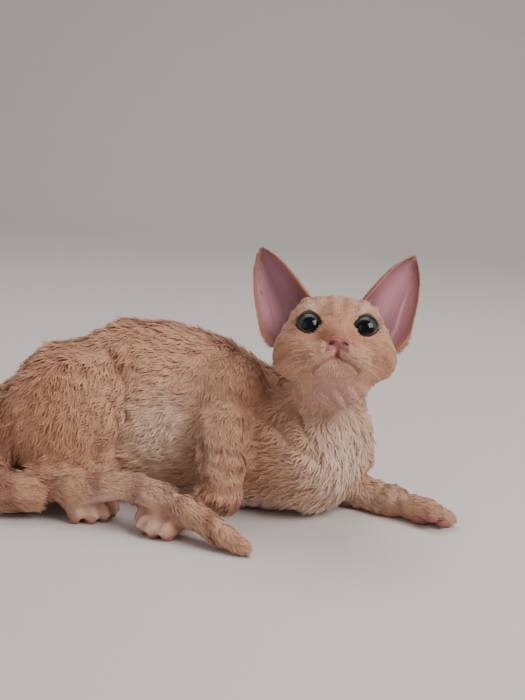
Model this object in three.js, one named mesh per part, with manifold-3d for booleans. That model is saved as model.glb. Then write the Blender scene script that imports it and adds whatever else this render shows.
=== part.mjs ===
// A devon rex kitten, life size, lying on its breast with the forequarters turned towards its right side and
// the head raised. Millimetres, +Z up, +X towards the cat's front, +Y towards its left side. The origin is
// under the belly, on the surface that the cat lies on.
import * as THREE from "three";
import { mergeVertices } from "three/addons/utils/BufferGeometryUtils.js";
import Module from "manifold-3d";

const wasm = await Module();
wasm.setup();

// Driving dimensions. Angles are in degrees.
const GAP = 0.3; // between neighbouring pieces
const HEAD_AT = [58.2, -38, 103]; // middle of the skull
const HEAD_TURN = -90.5; // where the nose points, seen from above
const HEAD_LIFT = 30; // how far the nose points up
const EYE = { forward: 10.8, side: 14.4, up: 3, radius: 9.3 };
const LIDS = { at: [18, 15.2, 2.9], size: [6, 6.3, 5.3] }; // the opening between the eyelids
const EAR_THICK = { base: 2.4, tip: 1.3 };

const vec = (x, y, z) => new THREE.Vector3(x, y, z);
const at = (list) => new THREE.Vector3(...list);
const mix = (a, b, share) => a + (b - a) * share;
const clamp01 = (x) => Math.min(1, Math.max(0, x));

// A closed surface on the grid of a sphere. place(turn, along) gives the point at an angle round the shape and
// a share of its length, and all of one end is one point.
function wrap(around, rows, place) {
  const grid = new THREE.SphereGeometry(1, around, rows);
  const uv = grid.getAttribute("uv");
  const position = grid.getAttribute("position");
  for (let i = 0; i < position.count; i++) {
    const p = place(uv.getX(i) * 2 * Math.PI, 1 - uv.getY(i));
    position.setXYZ(i, p.x, p.y, p.z);
  }
  return grid;
}

// A closed geometry as a manifold solid that faces out.
function solid(geometry, matrix = new THREE.Matrix4()) {
  const bare = new THREE.BufferGeometry().setIndex(geometry.index);
  bare.setAttribute("position", geometry.getAttribute("position").clone());
  const merged = mergeVertices(bare.applyMatrix4(matrix), 1e-3);
  const vertProperties = merged.getAttribute("position").array;
  const corner = (i) => vec(...vertProperties.slice(3 * i, 3 * i + 3));
  const triVerts = [];
  let volume = 0;
  for (let i = 0; i < merged.index.count; i += 3) {
    const [a, b, c] = merged.index.array.slice(i, i + 3);
    if (a === b || b === c || c === a) continue;
    triVerts.push(a, b, c);
    volume += corner(a).dot(corner(b).cross(corner(c)));
  }
  if (volume < 0) triVerts.reverse();
  return new wasm.Manifold(
    new wasm.Mesh({ numProp: 3, vertProperties, triVerts: new Uint32Array(triVerts) }),
  );
}

// An ellipsoid with its three half sizes along a set of axes.
function ellipsoid(centre, sizes, axes, grow = 0, around = 12, rows = 8) {
  const matrix = new THREE.Matrix4().makeBasis(...axes).setPosition(centre);
  const [a, b, c] = sizes.map((size) => size + grow);
  return solid(new THREE.SphereGeometry(1, around, rows).scale(a, b, c), matrix);
}
const ROW_AXES = [vec(1, 0, 0), vec(0, 1, 0), vec(0, 0, 1)];

// A limb, neck, tail or trunk: oval rings along a smooth path, with round ends. Each station is
// [x, y, z, half width, half height above the path, half height below it].
function tube(stations, { up = [0, 0, 1], around = 16, rows = 12, cap = [8, 8], square = 2 }, grow = 0) {
  const path = new THREE.CatmullRomCurve3(stations.map((s) => vec(s[0], s[1], s[2])));
  const sizes = new THREE.CatmullRomCurve3(stations.map((s) => vec(s[3], s[4], s[5])));
  const length = path.getLength();
  const capShare = 3 / rows;
  const bend = (x) => Math.sign(x) * Math.abs(x) ** (2 / square);
  const geometry = wrap(around, rows, (turn, along) => {
    let round = 1;
    let reach = mix(cap[0], length - cap[1], (along - capShare) / (1 - 2 * capShare));
    let beyond = 0;
    if (along < capShare) {
      const angle = (along / capShare) * (Math.PI / 2);
      round = Math.sin(angle);
      reach = cap[0] * (1 - Math.cos(angle));
      beyond = -Math.cos(angle) * grow;
    } else if (along > 1 - capShare) {
      const angle = ((1 - along) / capShare) * (Math.PI / 2);
      round = Math.sin(angle);
      reach = length - cap[1] * (1 - Math.cos(angle));
      beyond = Math.cos(angle) * grow;
    }
    const share = clamp01(reach / length);
    const heading = path.getTangent(share);
    const side = heading.clone().cross(at(up)).normalize();
    const above = side.clone().cross(heading);
    const [wide, high, low] = sizes.getPoint(share).toArray();
    const across = bend(Math.cos(turn)) * (wide + grow) * round;
    const rise = bend(Math.sin(turn)) * ((Math.sin(turn) > 0 ? high : low) + grow) * round;
    return path
      .getPoint(share)
      .addScaledVector(heading, beyond)
      .addScaledVector(side, across)
      .addScaledVector(above, rise);
  });
  return solid(geometry);
}

// The head. Its own axes are +X out of the nose, +Y to the left and +Z out of the crown.
const headPlace = new THREE.Group();
headPlace.position.set(...HEAD_AT);
headPlace.rotation.set(0, -THREE.MathUtils.degToRad(HEAD_LIFT), THREE.MathUtils.degToRad(HEAD_TURN), "ZYX");
headPlace.updateMatrixWorld(true);

// Masses of the head: where each is, its half sizes, and how softly it runs into the rest.
const HEAD_MASSES = [
  { name: "cranium", at: [-8, 0, 3], size: [29, 28, 23.5], soft: 0 },
  { name: "midface", at: [9, 0, -3], size: [15, 19, 16], soft: 6 },
  { name: "cheek", at: [-1, 19.5, -8], size: [16.5, 13.5, 13.5], soft: 8, paired: true },
  { name: "jaw", at: [3, 0, -17.5], size: [18, 19, 9], soft: 8 },
  { name: "throat", at: [-5, 0, -25], size: [14, 17.5, 11], soft: 8 },
  { name: "ear_root", at: [-3, 13, 17], size: [9, 7.5, 6], soft: 5, paired: true },
  { name: "brow", at: [11.5, 11, 11], size: [8, 11, 5.5], soft: 6, paired: true },
  { name: "cheekbone", at: [10, 17, -8], size: [9.5, 10, 7], soft: 6, paired: true },
  { name: "bridge_top", at: [18, 0, 1], size: [7, 8.5, 9], soft: 6 },
  { name: "bridge", at: [24.5, 0, -6.5], size: [7.5, 6, 6], soft: 6 },
  { name: "inner_pad", at: [27, 4.6, -14.2], size: [6, 5.5, 5], soft: 4, paired: true },
  { name: "whisker_pad", at: [22, 9.5, -17.4], size: [9.4, 8.6, 7.4], soft: 5, paired: true },
  { name: "chin", at: [17.5, 0, -23.3], size: [8, 8.2, 5], soft: 7 },
];
const HEAD_FLESH = HEAD_MASSES.flatMap((mass) => {
  const mirrored = { ...mass, at: [mass.at[0], -mass.at[1], mass.at[2]] };
  return mass.paired ? [mass, mirrored] : [mass];
});

// About how far a point is outside an ellipsoid; below 0 inside it.
function outside(point, mass) {
  const [x, y, z] = [0, 1, 2].map((i) => point[i] - mass.at[i]);
  const [a, b, c] = mass.size;
  const reach = Math.hypot(x / a, y / b, z / c);
  const slope = Math.hypot(x / a ** 2, y / b ** 2, z / c ** 2);
  return slope > 1e-9 ? (reach * (reach - 1)) / slope : -Math.min(a, b, c);
}

// The lesser of two distances, run into each other over a soft length.
function blend(a, b, soft) {
  if (soft === 0) return Math.min(a, b);
  const overlap = Math.max(soft - Math.abs(a - b), 0) / soft;
  return Math.min(a, b) - (overlap * overlap * soft) / 4;
}

function headDistance(point) {
  return HEAD_FLESH.reduce((far, mass) => blend(far, outside(point, mass), mass.soft), 1e3);
}

// The head's surface, found by halving along each ray from a point inside the skull. The grid's pole is at the
// nose, and rings lie closer together on the face.
const HEAD_CORE = [4, 0, -6];
const FACE_CROWDING = 1.25;
function headSolid(grow = 0) {
  const geometry = wrap(27, 20, (turn, along) => {
    const open = Math.PI * along ** FACE_CROWDING;
    const ray = [Math.cos(open), Math.sin(open) * Math.cos(turn), Math.sin(open) * Math.sin(turn)];
    let near = 2;
    let far = 60;
    for (let step = 0; step < 24; step++) {
      const middle = (near + far) / 2;
      const inside = headDistance(ray.map((r, i) => HEAD_CORE[i] + r * middle)) < grow;
      if (inside) near = middle;
      else far = middle;
    }
    return vec(...ray.map((r, i) => HEAD_CORE[i] + r * near));
  });
  return solid(geometry, headPlace.matrixWorld);
}

function eyeball(side, grow = 0) {
  const centre = vec(EYE.forward, side * EYE.side, EYE.up).applyMatrix4(headPlace.matrixWorld);
  return ellipsoid(centre, [EYE.radius, EYE.radius, EYE.radius], ROW_AXES, grow, 12, 8);
}

function lidOpening(side) {
  const [x, y, z] = LIDS.at;
  const centre = vec(x, side * y, z).applyMatrix4(headPlace.matrixWorld);
  const axes = ROW_AXES.map((axis) => axis.clone().transformDirection(headPlace.matrixWorld));
  return ellipsoid(centre, LIDS.size, axes, 0, 10, 6);
}

function noseLeather(grow = 0) {
  const centre = vec(30, 0, -11.5).applyMatrix4(headPlace.matrixWorld);
  const axes = ROW_AXES.map((axis) => axis.clone().transformDirection(headPlace.matrixWorld));
  return ellipsoid(centre, [3.9, 5.6, 3.4], axes, grow, 10, 6);
}

// An ear is a cupped shell. Its front and back edges run from the skull to the tip, the cup bulges backwards
// between them, and below the edges it closes down into the ear canal.
const EAR = {
  front: [[-1, 14.5, 23], [-2, 20, 31], [-4, 25.5, 38.8], [-7, 31.8, 47], [-10, 37.8, 52.6], [-13, 43.2, 56]],
  back: [[-5, 33, -3], [-8, 39.5, 7], [-11, 43, 20], [-13, 44.8, 31], [-14, 45.4, 43], [-13, 43.2, 56]],
  depth: [14, 14, 13, 10, 6, 0],
  canal: [-4, 22, 6],
  backwards: vec(-0.86, -0.48, 0.16).normalize(),
};
function earSolid(side, { fill = false, grow = 0 } = {}) {
  const edge = (list) => new THREE.CatmullRomCurve3(list.map(at));
  const front = edge(EAR.front);
  const back = edge(EAR.back);
  const depth = new THREE.CatmullRomCurve3(EAR.depth.map((d) => vec(d, 0, 0)));
  const canal = at(EAR.canal);
  const closing = 0.3; // share of the rows below the edges
  const geometry = wrap(fill ? 12 : 14, fill ? 7 : 11, (turn, along) => {
    const up = clamp01((along - closing) / (1 - closing));
    const open = Math.sin((clamp01(along / closing) * Math.PI) / 2);
    const across = (1 - Math.cos(turn)) / 2; // 0 at the front edge and 1 at the back edge, on both faces
    const hollow = Math.sin(turn) > 0;
    const share = Math.abs(Math.sin(turn)) ** 0.8;
    const tip = clamp01((1 - up) * 6);
    const bulge = depth.getPoint(up).x * share;
    const point = front.getPoint(up).lerp(back.getPoint(up), across);
    const thick = (mix(EAR_THICK.base, EAR_THICK.tip, up) + 2 * grow) * tip * share ** 0.5;
    const forwards = fill ? 14 * tip * share : -bulge;
    const backFace = bulge + thick;
    point.addScaledVector(EAR.backwards, hollow ? -forwards : backFace);
    if (fill && !hollow) point.addScaledVector(EAR.backwards, -thick);
    const closed = canal.clone().addScaledVector(EAR.backwards, hollow ? 0 : fill ? 0 : EAR_THICK.base * open);
    const placed = closed.lerp(point, open);
    placed.y *= side;
    return placed;
  });
  return solid(geometry, headPlace.matrixWorld);
}

// Trunk and neck.
const trunk = (grow) =>
  tube(
    [
      [-136, -8, 32, 26, 15, 28],
      [-114, -3, 44, 33, 24, 40],
      [-86, 0, 48, 36, 39, 47],
      [-50, 3, 50, 38, 54, 51.5],
      [-16, 2, 50, 37, 50, 51.5],
      [12, -4, 47, 35, 39, 48.5],
      [36, -11, 45, 34, 30, 44.5],
      [57, -21, 42, 33, 28, 40],
      [75, -35, 40, 27, 24, 33],
    ],
    { around: 18, rows: 15, cap: [16, 18], square: 2.15 },
    grow,
  );
const neck = (grow) =>
  tube(
    [
      [38, -5, 50, 30, 26, 26],
      [56, -21, 69, 25, 24, 25],
      [59, -32, 86, 23, 22, 23],
      [58, -37, 103, 19, 18, 17],
    ],
    { up: [-0.6, 0.6, 0.5], around: 12, rows: 7, cap: [14, 8] },
    grow,
  );

// Hind legs.
const THIGHS = {
  right: { at: [-85, -24, 51.5], size: [36.5, 20.5, 38.5], lean: 10, splay: -8 },
  left: { at: [-88, 23, 51], size: [36, 19, 36], lean: 10, splay: 6 },
};
const mound = ({ at: centre, size, lean, splay }) => (grow) => {
  const turned = new THREE.Euler(THREE.MathUtils.degToRad(splay), THREE.MathUtils.degToRad(lean), 0);
  const axes = ROW_AXES.map((axis) => axis.clone().applyEuler(turned));
  return ellipsoid(at(centre), size, axes, grow, 13, 9);
};
const shank = (side) => (grow) =>
  tube(
    side > 0
      ? [[-50, 34, 22, 10, 12, 12], [-78, 40, 20, 11, 13, 13], [-106, 38, 20, 8, 10, 10]]
      : [[-56, -30, 24, 10, 12, 12], [-78, -34, 23, 11, 13, 13], [-104, -37, 22, 9, 11, 12]],
    { around: 10, rows: 7, cap: [8, 8] },
    grow,
  );

// Forelegs.
const SHOULDERS = {
  right: { at: [5, -26, 64], size: [24, 15, 28], lean: 10, splay: -18 },
  left: { at: [62, 2, 58], size: [16, 15, 24], lean: -10, splay: 20 },
};
const upperArm = (side) => (grow) =>
  tube(
    side > 0
      ? [[60, 2, 64, 14, 16, 16], [74, -5, 46, 14, 18, 18], [73, 2, 22, 12, 14, 14]]
      : [[2, -28, 66, 13, 16, 16], [2, -38, 52, 14, 17, 17], [1, -44, 38, 13, 16.5, 16.5], [1, -46, 28, 12, 15, 15]],
    { up: [1, 0, 0.2], around: 10, rows: 7, cap: [10, 8] },
    grow,
  );
const forearm = (side) => (grow) =>
  tube(
    side > 0
      ? [[66, 6, 12, 12, 12, 12], [86, -6, 9.6, 11, 10.2, 10.2], [106, -18, 8, 9.4, 7.8, 8.2]]
      : [[0, -46, 38, 13, 16, 16], [2, -52, 24, 12.5, 14, 14], [0, -58, 9, 11.5, 13, 13]],
    { up: side > 0 ? [0, 0.3, 1] : [1, 0, 0.2], around: 10, rows: 7, cap: [8, 8] },
    grow,
  );

// A paw: the palm and four toes. heading runs from wrist to toes, and top is the side away from the pads.
function paw({ wrist, heading, top, scale = 1, spread = 6.6, long = 1 }, grow = 0) {
  const forward = at(heading).normalize();
  const left = at(top).cross(forward).normalize();
  const above = forward.clone().cross(left);
  const axes = [forward, left, above];
  const spot = (f, l, a) =>
    at(wrist)
      .addScaledVector(forward, f * scale)
      .addScaledVector(left, l * scale)
      .addScaledVector(above, a * scale);
  const sized = (sizes) => sizes.map((s) => s * scale);
  let made = ellipsoid(spot(13 * long, 0, 0), sized([17 * long, 11.5, 8]), axes, grow, 10, 6);
  for (const toe of [-1.5, -0.5, 0.5, 1.5]) {
    const reach = 28 * long - 1.9 * toe * toe;
    const centre = spot(reach, toe * spread, -1);
    made = made.add(ellipsoid(centre, sized([8, 4.4, 5.6]), axes, grow, 6, 5));
  }
  return made;
}
const PAWS = {
  forepaw_right: { wrist: [-15, -52, 9], heading: [-0.74, -0.66, -0.06], top: [0, -0.1, 1], scale: 1.05, long: 0.85 },
  forepaw_left: { wrist: [99, -16, 8], heading: [0.9, -0.42, -0.04], top: [0.1, 0.5, 0.85], scale: 1.03 },
  hindpaw_right: { wrist: [-79, -31, 9.5], heading: [0.6, -0.78, -0.1], top: [0, 0, 1], scale: 1.05, spread: 7.2, long: 0.85 },
  hindpaw_left: { wrist: [-100, 40, 9], heading: [1, 0.1, -0.08], top: [0, 0, 1], scale: 1.05 },
};

// Tail, in four lengths: it leaves the rump, turns round to the right and lies over the hind foot.
const TAIL = [
  [-120, -2, 36, 15],
  [-131, -20, 26, 19],
  [-125, -39, 16, 15],
  [-112, -49, 14.5, 13.5],
  [-89, -51, 15, 10.2],
  [-62, -52, 22, 9],
  [-40, -58, 24, 8.8],
  [-23, -67, 20, 8.8],
  [-7, -76, 13, 8.6],
  [8, -86, 7, 7.6],
  [20, -93.5, 4.2, 5],
];
const tailLength = (first, last) => (grow) =>
  tube(
    TAIL.slice(first, last + 1).map(([x, y, z, r]) => [x, y, z, r, r, r]),
    { around: 8, rows: 8, cap: [5, 5] },
    grow,
  );

// Every piece in the order in which it keeps its shape: each is cut back by the pieces before it that it meets.
const PIECES = {
  eye_left: { make: (grow) => eyeball(1, grow) },
  eye_right: { make: (grow) => eyeball(-1, grow) },
  nose: { make: noseLeather, meets: [] },
  ear_left: { make: (grow) => earSolid(1, { grow }) },
  ear_right: { make: (grow) => earSolid(-1, { grow }) },
  head: { make: headSolid, meets: ["eye_left", "eye_right", "nose", "ear_left", "ear_right"] },
  neck: { make: neck, meets: ["head", "ear_left", "ear_right"] },
  hindpaw_right: { make: (grow) => paw(PAWS.hindpaw_right, grow) },
  hindpaw_left: { make: (grow) => paw(PAWS.hindpaw_left, grow) },
  forepaw_right: { make: (grow) => paw(PAWS.forepaw_right, grow) },
  forepaw_left: { make: (grow) => paw(PAWS.forepaw_left, grow) },
  forearm_right: { make: forearm(-1), meets: ["forepaw_right"] },
  forearm_left: { make: forearm(1), meets: ["forepaw_left"] },
  upper_arm_right: { make: upperArm(-1), meets: ["forearm_right", "neck"] },
  upper_arm_left: { make: upperArm(1), meets: ["forearm_left", "neck"] },
  shoulder_right: { make: mound(SHOULDERS.right), meets: ["upper_arm_right", "neck"] },
  shoulder_left: { make: mound(SHOULDERS.left), meets: ["upper_arm_left", "neck"] },
  shank_right: { make: shank(-1), meets: ["hindpaw_right"] },
  shank_left: { make: shank(1), meets: ["hindpaw_left"] },
  thigh_right: { make: mound(THIGHS.right), meets: ["shank_right", "hindpaw_right"] },
  thigh_left: { make: mound(THIGHS.left), meets: ["shank_left", "hindpaw_left"] },
  tail_tip: { make: tailLength(7, 10), meets: ["forepaw_right", "forearm_right"] },
  tail_middle: { make: tailLength(4, 7), meets: ["tail_tip", "forepaw_right", "hindpaw_right", "shank_right", "thigh_right"] },
  tail_base: { make: tailLength(2, 4), meets: ["tail_middle", "shank_right", "hindpaw_right", "thigh_right"] },
  tail_root: { make: tailLength(0, 2), meets: ["tail_base", "shank_right", "thigh_right"] },
};
PIECES.trunk = { make: trunk, meets: Object.keys(PIECES).filter((name) => !/eye|nose|ear_/.test(name)) };

const SKIN = { color: 0xd2a583, roughness: 0.9 };
const LOOKS = {
  eye: { color: 0x1c2422, roughness: 0.08 },
  nose: { color: 0xc46a66, roughness: 0.5 },
  ear: { color: 0xb98a84, roughness: 0.8 },
};
const floorBlock = solid(new THREE.BoxGeometry(600, 600, 60).translate(0, 0, -30));

const cat = new THREE.Group();
cat.add(headPlace);
const grown = {};
for (const [name, { make }] of Object.entries(PIECES)) grown[name] = make(GAP);
for (const [name, { make, meets = [] }] of Object.entries(PIECES)) {
  let made = make(0);
  for (const other of meets) made = made.subtract(grown[other]);
  if (name === "head") {
    for (const side of [1, -1]) made = made.subtract(earSolid(side, { fill: true })).subtract(lidOpening(side));
  }
  made = made.subtract(floorBlock);
  const lumps = made.decompose().sort((a, b) => b.volume() - a.volume());
  const mesh = lumps[0].getMesh();
  const geometry = new THREE.BufferGeometry();
  const points = new Float32Array(mesh.numVert * 3);
  for (let i = 0; i < mesh.numVert; i++) {
    points.set(mesh.vertProperties.subarray(i * mesh.numProp, i * mesh.numProp + 3), i * 3);
  }
  geometry.setAttribute("position", new THREE.BufferAttribute(points, 3));
  geometry.setIndex(new THREE.BufferAttribute(mesh.triVerts, 1));
  geometry.computeVertexNormals();
  const look = LOOKS[name.split("_")[0]] ?? SKIN;
  const node = new THREE.Mesh(geometry, new THREE.MeshStandardMaterial(look));
  node.name = name;
  cat.add(node);
}

export default cat;
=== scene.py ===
"""A devon rex kitten, life size, lying with its head raised: skin, eyes, ears, pads, coat and whiskers."""

import math

import bpy
import numpy as np
from mathutils import Matrix


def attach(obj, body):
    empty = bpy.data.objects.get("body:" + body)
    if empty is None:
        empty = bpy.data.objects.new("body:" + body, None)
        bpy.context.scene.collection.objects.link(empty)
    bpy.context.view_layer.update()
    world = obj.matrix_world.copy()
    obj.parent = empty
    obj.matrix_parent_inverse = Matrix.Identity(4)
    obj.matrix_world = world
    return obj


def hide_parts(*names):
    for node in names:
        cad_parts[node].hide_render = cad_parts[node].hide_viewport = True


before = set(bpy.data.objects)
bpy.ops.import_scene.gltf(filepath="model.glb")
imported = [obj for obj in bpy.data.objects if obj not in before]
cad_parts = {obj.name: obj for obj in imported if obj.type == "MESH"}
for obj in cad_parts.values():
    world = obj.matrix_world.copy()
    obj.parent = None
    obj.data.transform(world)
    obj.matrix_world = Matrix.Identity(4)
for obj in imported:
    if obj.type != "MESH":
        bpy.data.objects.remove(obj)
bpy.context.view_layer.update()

MM = 0.001

# Camera: stands a little above the cat, in front of its right side, tipped three degrees as the picture is.
CAMERA_AIM = np.array([20.0, -10.0, 90.0]) * MM
CAMERA_DROP = math.radians(12)
CAMERA_TIP = math.radians(3)
CAMERA_DISTANCE = 0.78
LONG_SIDE_SEEN = 0.385  # at the aim
look = np.array([0, math.cos(CAMERA_DROP), -math.sin(CAMERA_DROP)])
level = np.array([1.0, 0, 0])
rise = np.cross(level, look)
across = level * math.cos(CAMERA_TIP) + rise * math.sin(CAMERA_TIP)
upwards = rise * math.cos(CAMERA_TIP) - level * math.sin(CAMERA_TIP)
camera_data = bpy.data.cameras.new("camera")
camera_data.lens = 36 * CAMERA_DISTANCE / LONG_SIDE_SEEN
camera_data.clip_start = 0.05
camera = bpy.data.objects.new("camera", camera_data)
stand = Matrix(np.column_stack([across, upwards, -look]).tolist()).to_4x4()
stand.translation = (CAMERA_AIM - look * CAMERA_DISTANCE).tolist()
camera.matrix_world = stand
bpy.context.scene.collection.objects.link(camera)
bpy.context.scene.camera = camera


# Skin: one closed hide over head, trunk, limbs and tail. It follows the solids, smoothed where limb meets
# trunk, and lies inside them by the coat's depth. The face's lids, lips, nostrils and creases are part of it.
FLESH = [
    "trunk", "neck", "head", "nose",
    "shoulder_left", "shoulder_right", "upper_arm_left", "upper_arm_right",
    "forearm_left", "forearm_right", "forepaw_left", "forepaw_right",
    "thigh_left", "thigh_right", "shank_left", "shank_right", "hindpaw_left", "hindpaw_right",
    "tail_root", "tail_base", "tail_middle", "tail_tip",
]
HEAD_AT = np.array([58.2, -38.0, 103.0])
HEAD_TURN = math.radians(-90.5)
HEAD_LIFT = math.radians(30)
HEAD_CORE = np.array([4.0, 0.0, -6.0])
EYE_AT = np.array([10.8, 14.4, 3.0])
EYE_RADIUS = 9.3
LID_THICK = 0.8
LIDS_AT = (14.9, 2.9)
LIDS_HALF = (6.2, 5.5)
FACE_DEPTH = 0.7


def head_axes():
    """Columns are the head's forward, left and up directions in the row frame."""
    level_share = math.cos(HEAD_LIFT)
    ahead = [math.cos(HEAD_TURN) * level_share, math.sin(HEAD_TURN) * level_share, math.sin(HEAD_LIFT)]
    left = np.array([-math.sin(HEAD_TURN), math.cos(HEAD_TURN), 0.0])
    return np.column_stack([ahead, left, np.cross(ahead, left)])


HEAD_AXES = head_axes()


def to_head(points):
    """Row-frame points in the head's own axes, both in millimetres."""
    return (points - HEAD_AT) @ HEAD_AXES


def from_head(points):
    """Points in the head's own axes in the row frame, both in millimetres."""
    return points @ HEAD_AXES.T + HEAD_AT


def ovoid(points, centre, sizes):
    """About how far each point is outside an ellipsoid: its scaled radius r, as r (r - 1) over r's slope."""
    offset = points - np.array(centre, float)
    scaled = offset / np.array(sizes, float)
    reach = np.linalg.norm(scaled, axis=1)
    slope = np.linalg.norm(scaled / np.array(sizes, float), axis=1)
    return np.where(slope > 1e-9, reach * (reach - 1) / np.maximum(slope, 1e-9), -min(sizes))


def blend(a, b, soft):
    """The lesser of two distances, run into each other over a soft length."""
    overlap = np.maximum(soft - np.abs(a - b), 0) / max(soft, 1e-9)
    return np.minimum(a, b) - overlap**2 * soft / 4


# Middle, half sizes and softness of each mass of the head; those off the middle come in pairs.
HEAD_MASSES = [
    ((-8, 0, 3), (29, 28, 23.5), 0.01),
    ((9, 0, -3), (15, 19, 16), 6),
    ((-1, 19.5, -8), (16.5, 13.5, 13.5), 8),
    ((3, 0, -17.5), (18, 19, 9), 8),
    ((-5, 0, -25), (14, 17.5, 11), 8),
    ((-3, 13, 17), (9, 7.5, 6), 5),
    ((11.5, 11, 11), (8, 11, 5.5), 6),
    ((10, 17, -8), (9.5, 10, 7), 6),
    ((18, 0, 1), (7, 8.5, 9), 6),
    ((24.5, 0, -6.5), (7.5, 6, 6), 6),
    ((27, 4.6, -14.2), (6, 5.5, 5), 4),
    ((22, 9.5, -17.4), (9.4, 8.6, 7.4), 5),
    ((17.5, 0, -23.3), (8, 8.2, 5), 7),
]


def bump(x, width):
    """A soft hill of height one at 0: e to the minus (x / width) squared."""
    return np.exp(-((x / width) ** 2))


def patch(points, centre, sizes):
    """A soft hill in space: the bump of the distance from its centre, with X, Y and Z over the sizes."""
    return bump(np.linalg.norm((points - centre) / sizes, axis=1), 1.0)


def ramp(x, low, high):
    """0 below low, 1 above high, and a smooth S between."""
    t = np.clip((x - low) / (high - low), 0, 1)
    return t * t * (3 - 2 * t)


def fade(x, low, high):
    """1 below low, 0 above high: the ramp turned round."""
    return ramp(-x, -high, -low)


def lid_opening(side, up):
    """Below 0 inside the almond between the lids: its height falls as (1 - (y / half)^2)^0.62 to its ends."""
    dy = np.abs(side) - LIDS_AT[0]
    dz = up - LIDS_AT[1] - 0.1 * dy
    room = np.clip(1 - (dy / LIDS_HALF[0]) ** 2, 0, 1)
    beside = np.hypot(np.abs(dy) - LIDS_HALF[0], dz)
    return np.where(np.abs(dy) < LIDS_HALF[0], np.abs(dz) - LIDS_HALF[1] * room**0.62, beside)


def mouth_height(side):
    """The lips' line: it falls away from under the nose to the corners of the mouth."""
    return -17.3 - 0.62 * np.abs(side) + 0.4 * bump(side, 1.6) + 0.008 * side**2


def head_distance(points, detail=True):
    """About how far each point in head axes is outside the head. Masses run into one another; with detail,
    lips, nostrils and creases are pressed in, and lids with open almonds are laid over the eyeballs."""
    mirrored = points * [1, -1, 1]
    far = None
    for centre, sizes, soft in HEAD_MASSES:
        for view in (points, mirrored) if centre[1] else (points,):
            near = ovoid(view, centre, sizes)
            far = near if far is None else blend(far, near, soft)
    x, y, z = points.T
    side = np.abs(y)
    folded = np.column_stack([x, side, z])
    nose = ovoid(points, (29.6, 0, -11.2), (4.2, 5.4, 2.9))
    far = blend(far, nose, 1.6)
    if not detail:
        return far
    front = ramp(x, 12, 18)
    far += 1.0 * bump((z - mouth_height(side)) * 0.85, 0.7) * fade(side, 10.5, 12.6) * front
    far += 0.7 * bump(side, 0.5) * fade(z, -14.5, -12.6) * ramp(z, -18.5, -17.2) * front
    pit = ((side - 3.7) / 1.6) ** 2 + ((z + 12.0 + 0.25 * (side - 3.7)) / 0.95) ** 2
    far += 2.2 * np.exp(-pit) * front
    far += 0.8 * bump(side - 6.4, 0.7) * bump(z + 10.9, 2.2) * front
    far += 0.45 * bump(z + 8.1, 0.6) * fade(side, 3.5, 5.5) * front
    far += 0.8 * bump(np.hypot(side - 8.6, z - 0.6), 1.1) * front
    rows = np.sin((z * 0.92 + x * 0.38) * 2 * np.pi / 2.3) * bump(side - 11, 4) * bump(z + 16.5, 4)
    far += 0.12 * rows * front
    lid = np.linalg.norm(folded - EYE_AT, axis=1) - EYE_RADIUS - LID_THICK
    far = blend(far, lid, 3.0)
    opening = np.where(x > 8, lid_opening(y, z), 9.0)
    far = np.maximum(far, -opening)
    return np.minimum(far, np.linalg.norm(folded - EYE_AT, axis=1) - EYE_RADIUS + 0.7)


def push_to_level(points, level, steps=5):
    """Moves points along the head distance d's slope g to the level: each to x - (d - level) g / |g|^2."""
    for _ in range(steps):
        here = head_distance(points)
        slope = np.empty_like(points)
        for axis in range(3):
            shift = np.zeros(3)
            shift[axis] = 0.05
            slope[:, axis] = (head_distance(points + shift) - head_distance(points - shift)) / 0.1
        steep = np.maximum((slope**2).sum(1), 0.25)
        move = -(here - level) / steep
        points = points + slope * np.clip(move, -0.8, 0.8)[:, None]
    return points


def ball_angles(turns, rows, lean=1.0):
    """The angle from the first pole and the turn about it, for each point of a pole-to-pole grid. Rows draw
    together at the first pole as the lean grows."""
    polar = np.pi * (np.arange(rows + 1) / rows) ** lean
    turn = np.arange(turns) / turns * 2 * np.pi
    return np.meshgrid(polar, turn, indexing="ij")


def ball_rays(polar, turn):
    """Unit vectors at the angles of a grid whose first pole is on X."""
    rays = [np.cos(polar), np.sin(polar) * np.cos(turn), np.sin(polar) * np.sin(turn)]
    return np.stack(rays, -1).reshape(-1, 3)


def head_grid(turns=220, rows=170):
    """The head on a grid of rays from its core, closer on the face; halving finds each ray's radius."""
    rays = ball_rays(*ball_angles(turns, rows, lean=1.2))
    near, far = np.full(len(rays), 2.0), np.full(len(rays), 60.0)
    for _ in range(18):
        middle = (near + far) / 2
        inside = head_distance(HEAD_CORE + rays * middle[:, None]) < -FACE_DEPTH
        near, far = np.where(inside, middle, near), np.where(inside, far, middle)
    return HEAD_CORE + rays * near[:, None], turns, rows


def new_mesh(name, points, corners, sizes):
    """A mesh object from points in millimetres, all face corners in a row, and each face's corner count."""
    mesh = bpy.data.meshes.new(name)
    mesh.vertices.add(len(points))
    mesh.vertices.foreach_set("co", (np.asarray(points) * MM).astype(np.float32).ravel())
    mesh.loops.add(len(corners))
    mesh.loops.foreach_set("vertex_index", np.asarray(corners, np.int32))
    mesh.polygons.add(len(sizes))
    starts = np.concatenate([[0], np.cumsum(sizes)[:-1]]).astype(np.int32)
    mesh.polygons.foreach_set("loop_start", starts)
    mesh.update(calc_edges=True)
    mesh.validate()
    made = bpy.data.objects.new(name, mesh)
    bpy.context.scene.collection.objects.link(made)
    return made


def ball_faces(turns, rows):
    """The quads of a pole-to-pole grid, from row to row, with each pole's row taken as its first point."""
    r, t = np.meshgrid(np.arange(rows), np.arange(turns), indexing="ij")
    ahead = (t + 1) % turns
    first, second = r * turns, (r + 1) * turns
    quads = np.stack([first + t, second + t, second + ahead, first + ahead], -1).reshape(-1, 4)
    return np.where(quads < turns, 0, np.where(quads >= rows * turns, rows * turns, quads))


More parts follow.
